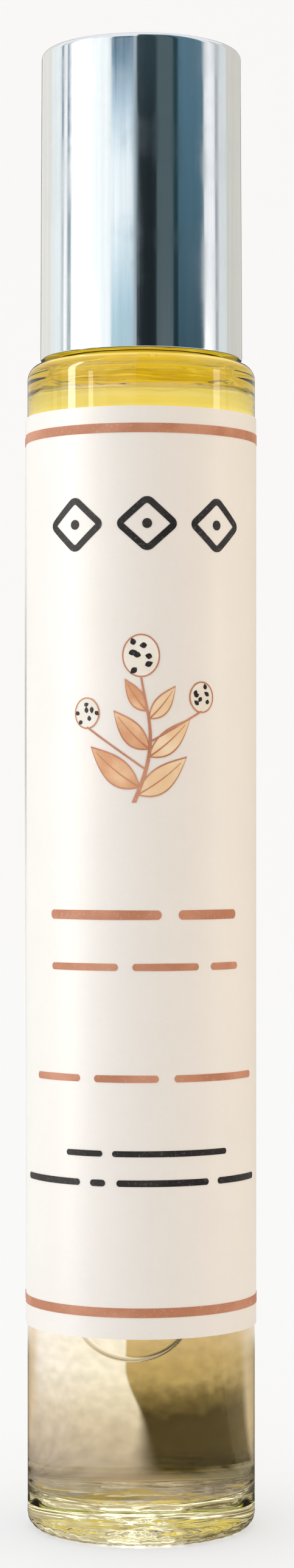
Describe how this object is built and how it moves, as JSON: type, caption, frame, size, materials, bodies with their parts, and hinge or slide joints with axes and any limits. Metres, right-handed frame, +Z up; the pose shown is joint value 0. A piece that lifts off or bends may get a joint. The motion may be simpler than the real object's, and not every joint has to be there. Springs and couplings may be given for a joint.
{
  "type": "perfume oil bottle",
  "caption": "Slim upright bottle of clear glass, filled with yellow perfume oil, with a polished metal cap and a wrap-round paper label with a stripe at each end.",
  "frame": {"origin": "centre of the flat foot that the bottle stands on, on the bottle's axis", "axes": "+Z up along the bottle's axis, -Y out of the label's front, +X to the right as seen from the front"},
  "size_m": [0.0166, 0.0164, 0.1035],
  "materials": {
    "clear_glass": "clear moulded glass with smooth gloss surfaces",
    "yellow_oil": "clear golden-yellow oil",
    "label_paper": "off-white label paper with a soft satin coat",
    "polished_metal": "polished silver-coloured metal",
    "rose_brown_ink": "rose-brown print on label paper",
    "black_ink": "black print on label paper",
    "tan_ink": "tan watercolour-like print on label paper"
  },
  "bodies": {
    "root": {"bottle": "clear_glass", "oil": "yellow_oil", "label": "label_paper", "cap": "polished_metal"}
  },
  "joints": []
}
